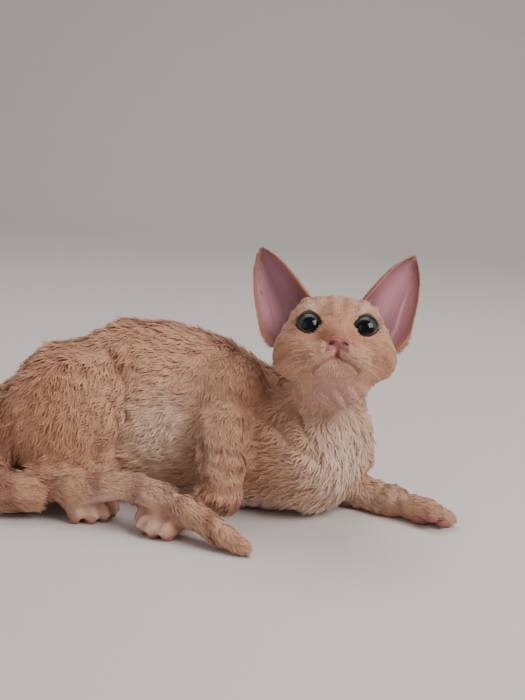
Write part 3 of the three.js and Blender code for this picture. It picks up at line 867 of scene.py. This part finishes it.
def ear_surface(sign, turns=96, rows=90):
    """The shell on a pole-to-pole grid. Between its edges it bulges backwards by its depth times the sine of
    the turn to the 0.8; its two faces lie a skin's thickness apart; below the edges it closes down."""
    closing = 0.3
    turn = np.arange(turns) / turns * 2 * np.pi
    share_up = np.arange(rows + 1) / rows
    along, around = np.meshgrid(share_up, turn, indexing="ij")
    up = np.clip((along - closing) / (1 - closing), 0, 1)
    opened = np.sin(np.clip(along / closing, 0, 1) * np.pi / 2)[..., None]
    across = ((1 - np.cos(around)) / 2)[..., None]
    share = np.abs(np.sin(around)) ** 0.8
    inner = np.sin(around) > 0
    point = through(EAR_FRONT, up) * (1 - across) + through(EAR_BACK, up) * across
    tip = np.clip((1 - up) * 6, 0, 1)
    bulge = through(EAR_DEPTH, up)[..., 0] * share
    thick = (1.7 - 0.8 * up) * tip * share**0.5
    folds = 0.9 * np.sin(across[..., 0] * 21 + 3 * up) * bump(up - 0.05, 0.3)
    folds = folds * share * ramp(across[..., 0], 0.3, 0.7)
    folds = folds - 1.3 * bump(across[..., 0] - 0.86 + 0.1 * up, 0.035) * fade(up, 0.4, 0.75)
    back = bulge + thick + 0.25 * folds
    front = bulge + folds * 0.8
    point = point + EAR_BACKWARDS * np.where(inner, front, back)[..., None]
    shut = EAR_CANAL + EAR_BACKWARDS * np.where(inner[..., None], 0.0, 1.8 * opened)
    placed = shut + (point - shut) * opened
    placed[..., 1] *= sign
    return placed.reshape(-1, 3), up.ravel(), across.ravel(), inner.ravel(), turns, rows


EAR_PINK = tint(184, 132, 146)
# EAR_DEEP is the mauve of the painted shade inside the ears; it also tints their outer fur.
EAR_DEEP = tint(134, 84, 90)
ear_paint = Paint("ear_skin", Roughness=0.6, Subsurface_Weight=0.1, Subsurface_Scale=0.003)
ear_paint.shader.inputs["Subsurface Radius"].default_value = (1.0, 0.3, 0.25)
flush = ear_paint.noise(260, 3) * 0.35
ear_paint.feed("Base Color", ear_paint.mix(flush, ear_paint.attribute("tone"), (0.42, 0.17, 0.17)))
ear_paint.relief(ear_paint.noise(1500, 3), 0.0002, 0.5)
ear_roots = []
for name, sign in (("ear_left", 1), ("ear_right", -1)):
    grid, up, across, inner, turns, rows = ear_surface(sign)
    ear = closed_ball(name + "_shell", from_head(grid), turns, rows, outward=sign > 0)
    points, normals, _ = arrays(ear.data)
    kept = ball_kept(turns, rows)
    up, across, inner = up[kept], across[kept], inner[kept]
    fur = markings_and_painted_light(points, part_fields(points))
    fur = mixed(mixed(fur, APRICOT, np.full(len(points), 0.4)), EAR_DEEP, np.full(len(points), 0.35))
    # Painted shade: the bare inside darkens to mauve towards its foot and along a band near its front edge.
    deep = np.clip(fade(up, 0, 0.55) * 0.9 + 0.5 * bump(across - 0.2, 0.18), 0, 1)
    pink_and_shade = mixed(np.tile(EAR_PINK, (len(points), 1)), EAR_DEEP, deep)
    rim = np.minimum(across, 1 - across) * 2
    bare = inner * ramp(rim, 0.0, 0.05)
    tone = mixed(mixed(fur, RUST, 0.35 * ramp(up, 0.6, 1)), pink_and_shade, bare)
    give_tones(ear.data, tone)
    ear.data.shade_smooth()
    ear.data.materials.append(ear_paint.material)
    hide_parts(name)
    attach(ear, "root")
    ear_roots.append((points, normals, up, across, inner, sign))


# Paw pads: one broad pad behind and a small one under each toe, of bare pink skin, on the folded right
# forepaw, the stretched left one and both hind feet. Each paw: wrist, heading, top, scale, length and spread.
PAWS = {
    "forepaw_right": ((-15, -52, 9), (-0.74, -0.66, -0.06), (0, -0.1, 1), 1.05, 0.85, 6.6),
    "forepaw_left": ((99, -16, 8), (0.9, -0.42, -0.04), (0.1, 0.5, 0.85), 1.03, 1.0, 6.6),
    "hindpaw_right": ((-79, -31, 9.5), (0.6, -0.78, -0.1), (0, 0, 1), 1.05, 0.85, 7.2),
    "hindpaw_left": ((-100, 40, 9), (1, 0.1, -0.08), (0, 0, 1), 1.05, 1.0, 6.6),
}


def paw_axes(heading, top):
    """The paw's forward, left and upper directions as rows."""
    forward = np.array(heading, float) / np.linalg.norm(heading)
    left = np.cross(top, forward)
    left /= np.linalg.norm(left)
    return np.array([forward, left, np.cross(forward, left)])


pad_paint = Paint("pad_skin", Roughness=0.5, Subsurface_Weight=0.15, Subsurface_Scale=0.002)
PAD_DARK = tint(150, 88, 84)
PAD_LIGHT = tint(176, 116, 108)
pad_paint.feed("Base Color", pad_paint.mix(pad_paint.noise(700, 3), tuple(PAD_DARK), tuple(PAD_LIGHT)))
pebbles = pad_paint.node("ShaderNodeTexVoronoi", {}, Vector=pad_paint.place(), Scale=1500.0)
pad_paint.relief(pebbles, 0.0003, 0.6)
TOE_PAD = np.array([3.6, 2.7, 2.2])
PALM_PAD = np.array([5.2, 6.4, 3.0])
turns, rows = 24, 14
ball = ball_rays(*ball_angles(turns, rows))
for name, (wrist, heading, top, scale, long, spread) in PAWS.items():
    axes = paw_axes(heading, top)
    for number, toe in enumerate((-1.5, -0.5, 0.5, 1.5, 0)):
        if number < 4:
            middle = np.array([28 * long - 1.9 * toe * toe + 0.5, toe * spread, -5.2])
            size = TOE_PAD
        else:
            middle = np.array([15 * long, 0, -5.6])
            size = PALM_PAD
        shaped = (ball * size + middle) * scale
        placed = shaped @ axes + np.array(wrist)
        placed[:, 2] = np.maximum(placed[:, 2], 0.25)
        pad = closed_ball(f"pad_{name}_{number + 1}", placed, turns, rows, outward=False)
        pad.data.shade_smooth()
        pad.data.materials.append(pad_paint.material)
        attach(pad, "root")


# Coat: short soft locks that lie along the body in ripples, each a thin tapering ridge of hair. They are
# longest on back, flanks and breast, fine on the legs, and finest on the face, feet and ears.
dice = np.random.default_rng(7)


def crossed(a, b):
    """Unit vectors square to both."""
    c = np.cross(a, b)
    return c / np.maximum(np.linalg.norm(c, axis=1), 1e-9)[:, None]


def flattened(vectors, normals):
    """Vectors laid into the surface and brought to length one."""
    flat = vectors - normals * (vectors * normals).sum(1)[:, None]
    return flat / np.maximum(np.linalg.norm(flat, axis=1), 1e-9)[:, None]


def lie_of_hair(points, normals, fields):
    """Where hair points at each root: along the nearest parts, weighed by nearness to the sixth, on the head
    away from the nose, and on the breast down; it sinks a little with its weight."""
    total = np.zeros_like(points)
    for near, heading, _ in fields.values():
        total += heading / np.maximum(near, 0.4)[:, None] ** 6
    total /= np.maximum(np.linalg.norm(total, axis=1), 1e-9)[:, None]
    head = to_head(points)
    from_nose = head - np.array([30.0, 0, -9.0])
    from_nose /= np.maximum(np.linalg.norm(from_nose, axis=1), 1e-9)[:, None]
    from_nose = from_nose @ HEAD_AXES.T
    on_head = fade(head_distance(head, detail=False), 0, 5)[:, None]
    lie = total * (1 - on_head) + from_nose * on_head
    breast = patch(points, [70, -52, 56], [30, 30, 30])[:, None] * (1 - on_head)
    lie = lie * (1 - 0.9 * breast) + 0.9 * breast * np.array([-0.15, 0.1, -1.0])
    lie[:, 2] -= 0.35 * (1 - on_head[:, 0])
    return flattened(lie, normals)


skin_triangles = arrays(skin.data)[2]
corner_a, corner_b, corner_c = (skin_points[skin_triangles[:, i]] for i in range(3))
skin_areas = np.linalg.norm(np.cross(corner_b - corner_a, corner_c - corner_a), axis=1) / 2


def sown(amount):
    """Roots strewn evenly over the skin, amount of them to a square millimetre: points and their normals.
    Each is a u + b v + c (1 - u - v) in its triangle."""
    reach = np.cumsum(skin_areas * amount[skin_triangles].mean(1))
    steps = np.arange(0.5, reach[-1] - 0.5)
    picks = steps + dice.uniform(-0.5, 0.5, len(steps))
    chosen = skin_triangles[np.searchsorted(reach, picks)]
    u, v = dice.uniform(0, 1, (2, len(picks)))
    over = u + v > 1
    shares = np.stack([np.where(over, 1 - u, u), np.where(over, 1 - v, v)])
    shares = np.concatenate([shares, 1 - shares.sum(0)[None]])[..., None]
    points = sum(skin_points[chosen[:, i]] * shares[i] for i in range(3))
    normals = sum(skin_normals[chosen[:, i]] * shares[i] for i in range(3))
    return points, normals / np.linalg.norm(normals, axis=1)[:, None]


PARTS = list(LIE)


def unwrapped(points, fields):
    """Each root's place on the skin's own unwrap: parts lie in boxes, by their length and the angle round
    them, and the head by its polar angles."""
    best = np.argmin(np.array([fields[name][0] for name in PARTS]), axis=0)
    share = np.choose(best, [fields[name][2] for name in PARTS])
    heading = np.zeros_like(points)
    centre = np.zeros_like(points)
    for index, name in enumerate(PARTS):
        mine = best == index
        heading[mine] = fields[name][1][mine]
        line = np.array(LIE[name], float)[:, :3]
        place = share[mine] * (len(line) - 1)
        i = np.minimum(place.astype(int), len(line) - 2)
        centre[mine] = line[i] + (line[i + 1] - line[i]) * (place - i)[:, None]
    side = crossed(heading, np.tile([0.05, 0.05, 1.0], (len(points), 1)))
    above = crossed(side, heading)
    out = points - centre
    angle = np.arctan2((out * side).sum(1), (out * above).sum(1)) / (2 * np.pi) + 0.5
    head = to_head(points)
    on_head = head_distance(head, detail=False) < 4
    radius = np.linalg.norm(head - HEAD_CORE, axis=1)
    share = np.where(on_head, np.arccos(np.clip((head[:, 0] - HEAD_CORE[0]) / radius, -1, 1)) / np.pi, share)
    angle = np.where(on_head, np.arctan2(head[:, 1], head[:, 2] - HEAD_CORE[2]) / (2 * np.pi) + 0.5, angle)
    box = np.where(on_head, 1, np.where(best == 0, 0, 2 + best))
    column, row = box % 4, box // 4
    low_u = np.where(box == 0, 0.0, np.where(box == 1, 0.5, column * 0.25))
    low_v = np.where(box < 2, 0.0, 0.36 + row * 0.12)
    wide = np.where(box < 2, 0.5, 0.25)
    tall = np.where(box < 2, 0.36, 0.12)
    return np.column_stack([low_u + wide * (0.03 + 0.94 * share), low_v + tall * (0.03 + 0.94 * angle)])


UV_SPREAD = 0.003  # a lock's width and height on the unwrap


def locks(name, roots, normals, heading, tone, sizes, stations, tipping, sink=0.25):
    """Makes one mesh of many locks, with length, width, rise, sway and wave for each. Along its share s a
    lock runs length * s (1 - s / 10), rises by rise * (1 - (1 - s)^2), sways by sway * sin(2 pi s length /
    wave + phase), and narrows towards its tip; in section it is a low ridge."""
    length, width, rise, sway, wave = sizes
    count = len(roots)
    side = crossed(normals, heading)
    s = np.linspace(0, 1, stations)
    travelled = (roots * heading).sum(1) + 5 * waves(roots, 26, 21)
    phase = 2 * np.pi * travelled / wave + dice.normal(0, 0.35, count)
    turn = phase[:, None] + 2 * np.pi * s * (length / wave)[:, None]
    swing = (np.sin(turn) - np.sin(phase)[:, None]) * sway[:, None]
    lift = rise[:, None] * (1 - (1 - s) ** 2) + 0.35 * sway[:, None] * np.cos(turn) * s - sink
    run = length[:, None] * s * (1 - 0.1 * s)
    centre = roots[:, None] + heading[:, None] * run[..., None] + normals[:, None] * lift[..., None]
    centre = centre + side[:, None] * swing[..., None]
    profile = np.clip(1.15 * (1 - s**2.2), 0, 1) * (0.65 + 0.35 * np.sin(np.pi * np.clip(s * 1.4, 0, 1)))
    half = 0.5 * width[:, None] * profile
    left = centre + side[:, None] * half[..., None]
    right = centre - side[:, None] * half[..., None]
    ridge = centre + normals[:, None] * (0.32 * half)[..., None]
    per = 3 * (stations - 1) + 1
    points = np.empty((count, per, 3))
    for k, strand in enumerate((left, ridge, right)):
        points[:, k:per - 1:3] = strand[:, :-1]
    points[:, -1] = centre[:, -1]
    faces, corner_counts = [], []
    for j in range(stations - 2):
        base = 3 * j
        for k in (0, 1):
            faces += [base + k, base + k + 1, base + k + 4, base + k + 3]
            corner_counts.append(4)
    base = 3 * (stations - 2)
    for k in (0, 1):
        faces += [base + k, base + k + 1, per - 1]
        corner_counts.append(3)
    faces = np.array(faces)
    corners = (faces[None] + per * np.arange(count)[:, None]).ravel()
    made = new_mesh(name, points.reshape(-1, 3), corners, np.tile(corner_counts, count))
    row = np.append(np.repeat(np.arange(stations - 1), 3), stations - 1)
    shade = s[row]
    column = np.append(np.tile([0, 1, 2], stations - 1), 1) / 2 - 0.5
    # Each lock is darker towards its root, partly skin seen between the hairs and partly painted shade deep
    # in the coat; its crest is a little lighter, a painted highlight.
    colour = tone[:, None] * (0.80 + 0.26 * shade[None, :, None] + 0.05 * (column == 0)[None, :, None])
    colour = colour + (tipping * shade[None, :, None] ** 2) * (PALE - tone[:, None])
    give_tones(made.data, np.clip(colour, 0, 1).reshape(-1, 3))
    spread = np.stack([column, shade - 0.5], -1) * UV_SPREAD
    place = (unwrapped(roots, part_fields(roots))[:, None] + spread[None]).reshape(-1, 2)
    layer = made.data.uv_layers.new(name="OFBake")
    loops = np.empty(len(made.data.loops), np.int32)
    made.data.loops.foreach_get("vertex_index", loops)
    layer.data.foreach_set("uv", place[loops].astype(np.float32).ravel())
    made.data.shade_smooth()
    made.data.materials.append(fur_paint.material)
    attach(made, "root")


FUR_LIGHT = tint(250, 232, 216)
fur_paint = Paint(
    "fur", Roughness=0.7, Sheen_Weight=0.1, Sheen_Roughness=0.5,
    Subsurface_Weight=0.12, Subsurface_Scale=0.0015,
)
fur_paint.shader.inputs["Specular IOR Level"].default_value = 0.25
strands = fur_paint.noise(1800, 2) * 0.22
fur_paint.feed("Base Color", fur_paint.mix(strands, fur_paint.attribute("tone"), tuple(FUR_LIGHT)))


def turned(heading, normals, angle):
    """Headings turned in the surface by an angle each."""
    return heading * np.cos(angle)[:, None] + np.cross(normals, heading) * np.sin(angle)[:, None]


PIECE_TRIANGLES = 188000
LOCK_LONG = 2.6  # length of a lock over the coat's depth
WAVE = 9.0  # from one ripple of the coat to the next
OVERLAP = 4.7  # how many locks lie over each point of the skin
MOST_LOCKS = 2.6  # to a square millimetre


def lock_width(depth):
    """How wide a lock is for the coat's depth: 0.28 mm and 0.22 of the depth."""
    return 0.28 + 0.22 * depth


def dress(name, where, stations, wander=0.25, mottle=0.12, tipping=0.18):
    """Grows locks on the skin where the mask is 1, in pieces that each stay under the triangle limit. Their
    sizes follow the coat's depth, and there are more of them where they are small."""
    amount = np.clip(OVERLAP / (0.6 * LOCK_LONG * skin_depth * lock_width(skin_depth)), 0, MOST_LOCKS)
    points, normals = sown(amount * where)
    fields = part_fields(points)
    depth = coat_depth(points, fields)
    heading = lie_of_hair(points, normals, fields)
    angle = wander * waves(points, 24, 31) * 1.6 + dice.normal(0, 0.10, len(points))
    angle += 0.40 * waves(points, 5.5, 33) * ramp(depth, 0.8, 2.2)
    heading = turned(heading, normals, angle)
    tone = markings_and_painted_light(points, fields) * (1 + mottle * dice.normal(0, 1, (len(points), 1)).clip(-2, 2))
    place = points[:, 0] + 0.6 * points[:, 2] + 7 * waves(points, 22, 41)
    ripple = 1 + 0.45 * np.sin(2 * np.pi * place / WAVE)
    rise = 0.42 * depth * ripple * (1 + 0.6 * waves(points, 6, 34))
    base = (LOCK_LONG * depth, lock_width(depth), rise, 0.20 * depth, WAVE)
    sizes = [value * dice.uniform(0.75, 1.25, len(points)) for value in base]
    each = 4 * (stations - 2) + 2
    pieces = int(np.ceil(len(points) * each / PIECE_TRIANGLES))
    order = np.argsort(points[:, 0])
    for number, part in enumerate(np.array_split(order, pieces)):
        title = f"{name}_{number + 1}" if pieces > 1 else name
        part_sizes = [size[part] for size in sizes]
        locks(title, points[part], normals[part], heading[part], tone[part], part_sizes, stations, tipping)


skin_depth = coat_depth(skin_points, skin_fields)
near = {name: field[0] for name, field in skin_fields.items()}
on_paw = np.max([fade(near[name], 1.3, 1.7) for name in near if "paw" in name], axis=0)
limb_parts = [name for name in near if name.startswith(("arm", "forearm", "shank"))]
on_limb = np.max([fade(near[name], 1.2, 1.5) for name in limb_parts], axis=0)
on_tail = fade(near["tail"], 1.25, 1.6)
on_skull = skin_skull < 1.5
free = ramp(skin_points[:, 2], 0.6, 1.6)
body = free * (~on_skull & (on_paw < 0.5) & (on_limb < 0.5) & (on_tail < 0.5))
limbs = free * (~on_skull & (on_paw < 0.5) & (on_limb >= 0.5) & (on_tail < 0.5))
tail = free * (~on_skull & (on_tail >= 0.5))
paws = free * (~on_skull & (on_paw >= 0.5) & (on_tail < 0.5))
bare_throat = 0.8 * patch(skin_points, [59, -60, 70], [20, 24, 20])
in_folds = np.max([bump(distance_to_line(skin_points, line), 2.2) for line in THROAT_FOLDS], axis=0)
body = body * (1 - 0.85 * bare_throat) * (1 - 0.8 * in_folds)
bare_throat = bare_throat * fade(skin_points[:, 2], 79, 86)
clear = np.where((lid_gap > 2.1) | (hx < 8), 1.0, 0.0) * (leather < 0.3) * (lips < 0.5) * (pits < 0.3)
dress("coat_body", body, 5)
dress("coat_legs", limbs, 4, wander=0.2)
dress("coat_tail", tail, 4, wander=0.15)
dress("coat_paws", paws, 3, wander=0.1)
dress("coat_head", on_skull * clear * (1 - 0.85 * bare_throat), 4, wander=0.2, mottle=0.28, tipping=0.2)
for points, normals, up, across, inner, sign in ear_roots:
    rim = np.minimum(across, 1 - across) * 2
    held = np.nonzero((up > 0.01) & (up < 0.93) & (~inner | (rim < 0.06)))[0]
    held = np.repeat(held, np.where(rim[held] < 0.08, 2, 1))
    tip = from_head(np.array([[-13, 43.2 * sign, 58.0]]))
    at_rim = fade(rim[held], 0.02, 0.10)
    root = points[held] + dice.normal(0, 0.35, (len(held), 3)) * (1 - at_rim)[:, None]
    normal = normals[held]
    side = flattened(tip - root, normal)
    outward = flattened(root - from_head(np.array([[-10, 31 * sign, 22.0]])), side)
    heading = side + 0.35 * at_rim[:, None] * outward
    heading /= np.linalg.norm(heading, axis=1)[:, None]
    heading = turned(heading, normal, dice.normal(0, 0.18, len(held)))
    low = fade(up[held], 0.05, 0.34) * ramp(across[held], 0.75, 0.95)
    heading = heading * (1 - 0.8 * low)[:, None] + 0.8 * low[:, None] * outward
    heading /= np.linalg.norm(heading, axis=1)[:, None]
    peak = ramp(up[held], 0.88, 0.97)
    depth = 0.75 + 0.9 * low + 0.35 * peak
    tone = mixed(markings_and_painted_light(root, part_fields(root)), APRICOT, np.full(len(held), 0.4))
    tone = mixed(tone, RUST, 0.4 * ramp(up[held], 0.6, 1))
    tone = tone * (1 + 0.09 * dice.normal(0, 1, (len(held), 1)).clip(-2, 2))
    sizes = (2.6 * depth, 0.30 + 0.18 * depth, 0.28 * depth, 0.10 * depth, 6.0 + 0 * depth)
    title = "coat_ear_left" if sign > 0 else "coat_ear_right"
    sizes = [value * dice.uniform(0.75, 1.25, len(held)) for value in sizes]
    locks(title, root, normal, heading, tone, sizes, 4, 0.1, sink=0.1)


# Whiskers: few, short and curled, from the whisker pads and over the eyes, each a fine tapering round hair
# that starts in the skin.
def hairs(name, starts, directions, lengths, curls, thick=0.07, rows=14, turns=5):
    """Tubes whose middle line runs start + direction * l s + curl * l s^2; the radius falls as 1 - 0.85 s."""
    s = np.linspace(0, 1, rows)
    line = starts[:, None] + directions[:, None] * (lengths[:, None] * s)[..., None]
    line = line + curls[:, None] * (lengths[:, None] * s**2)[..., None]
    ahead = directions[:, None] + 2 * curls[:, None] * s[None, :, None]
    ahead /= np.linalg.norm(ahead, axis=2)[..., None]
    side = np.cross(ahead, [0.3, 0.2, 0.93])
    side /= np.linalg.norm(side, axis=2)[..., None]
    above = np.cross(side, ahead)
    spin = np.arange(turns) / turns * 2 * np.pi
    radius = thick * (1 - 0.85 * s)
    ring = side[:, :, None] * np.cos(spin)[:, None] + above[:, :, None] * np.sin(spin)[:, None]
    points = line[:, :, None] + ring * radius[None, :, None, None]
    count = len(starts)
    h, i, j = np.meshgrid(np.arange(count), np.arange(rows - 1), np.arange(turns), indexing="ij")
    first = (h * rows + i) * turns
    beside = (j + 1) % turns
    quads = np.stack([first + j, first + beside, first + turns + beside, first + turns + j], -1)
    quads = quads.reshape(-1, 4)
    ends = np.arange(count)[:, None] * rows * turns + np.arange(turns)
    caps = np.concatenate([ends[:, ::-1], ends + (rows - 1) * turns])
    corners = np.concatenate([quads.ravel(), caps.ravel()])
    counts = np.append(np.full(len(quads), 4), np.full(len(caps), turns))
    made = new_mesh(name, points.reshape(-1, 3), corners, counts)
    made.data.shade_smooth()
    made.data.materials.append(whisker_paint.material)
    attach(made, "root")


whisker_paint = Paint("whisker", Roughness=0.35)
whisker_paint.shader.inputs["Base Color"].default_value = (*tint(240, 226, 212), 1)
for name, sign in (("whiskers_left", 1), ("whiskers_right", -1)):
    row, column = (axis.ravel() for axis in np.meshgrid(np.arange(4), np.arange(4), indexing="ij"))
    spots = np.column_stack([27.0 - 1.5 * column, 7.6 + 2.4 * column, -13.4 - 1.9 * row - 0.5 * column])
    brows = np.array([[15.5, 11.5, 11.5], [14.5, 14.5, 12.2], [13.0, 18.0, 11.5]])
    spots = push_to_level(np.concatenate([spots, brows]) + [0.5, 0, 0], -FACE_DEPTH - 0.2, 12)
    out = np.concatenate([
        np.column_stack([0.45 - 0.12 * column, 0.85 + 0.03 * column, 0.12 - 0.16 * row]),
        np.array([[0.5, 0.25, 0.85], [0.4, 0.45, 0.85], [0.2, 0.7, 0.7]]),
    ])
    out += dice.normal(0, 0.08, out.shape)
    out /= np.linalg.norm(out, axis=1)[:, None]
    long = np.append(3.5 + 1.9 * column + dice.uniform(-1, 2.5, 16), [5, 6, 4])
    curl = dice.normal(0, 0.12, out.shape) + [-0.30, 0, -0.28]
    curl[16:] = [-0.35, 0.1, -0.1]
    flip = np.array([1, sign, 1])
    hairs(name, from_head(spots * flip), (out * flip) @ HEAD_AXES.T, long, (curl * flip) @ HEAD_AXES.T)


# Studio: a plain pale floor that runs up behind into a plain backdrop, lit by three broad soft lamps and a
# faint even light from all round.
def sweep_surface(wide=3.0, deep=1.6, high=1.9, bend=0.5, columns=9):
    """A floor along Y, a quarter circle of the bend's radius, and a wall, extruded along X."""
    arc = np.linspace(0, np.pi / 2, 24)
    curve = deep - bend + bend * np.sin(arc[1:])
    y = np.concatenate([np.linspace(-1.6, deep - bend, 18), curve, np.full(12, deep)])
    z = np.concatenate([np.zeros(18), bend * (1 - np.cos(arc[1:])), np.linspace(bend, high, 13)[1:]])
    x = np.linspace(-wide, wide, columns)
    points = np.array([np.tile(x, len(y)), np.repeat(y, columns), np.repeat(z, columns)]).T
    r, c = np.meshgrid(np.arange(len(y) - 1), np.arange(columns - 1), indexing="ij")
    first = (r * columns + c).ravel()
    quads = np.stack([first, first + 1, first + columns + 1, first + columns], -1)
    return points / MM, quads


points, quads = sweep_surface()
sweep = new_mesh("sweep", points, quads.ravel(), np.full(len(quads), 4))
sweep.data.shade_smooth()
ground = Paint("ground", Roughness=0.9)
ground.shader.inputs["Base Color"].default_value = (*tint(214, 208, 205), 1)
sweep.data.materials.append(ground.material)


def lamp(name, place, aim, size, power, colour=(1, 1, 1)):
    """A square soft lamp at a place, turned to its aim, in metres and watts."""
    data = bpy.data.lights.new(name, "AREA")
    data.size = size
    data.energy = power
    data.color = colour
    made = bpy.data.objects.new(name, data)
    back = np.array(place, float) - np.array(aim, float)
    back /= np.linalg.norm(back)
    right = np.cross([0, 0, 1], back)
    right /= np.linalg.norm(right)
    turn = Matrix(np.column_stack([right, np.cross(back, right), back]).tolist()).to_4x4()
    turn.translation = place
    made.matrix_world = turn
    bpy.context.scene.collection.objects.link(made)


lamp("key", (0.85, -0.62, 0.95), (0.02, 0, 0.06), 0.7, 16, (1.0, 0.96, 0.92))
lamp("fill", (-0.9, -0.9, 0.6), (0, 0, 0.06), 1.0, 2.6, (0.95, 0.97, 1.0))
lamp("top", (0.0, 0.35, 1.1), (0, 0, 0.06), 0.8, 6)
world = bpy.data.worlds.new("world")
world.use_nodes = True
world.node_tree.nodes["Background"].inputs["Color"].default_value = (0.80, 0.79, 0.80, 1)
world.node_tree.nodes["Background"].inputs["Strength"].default_value = 0.35
bpy.context.scene.world = world
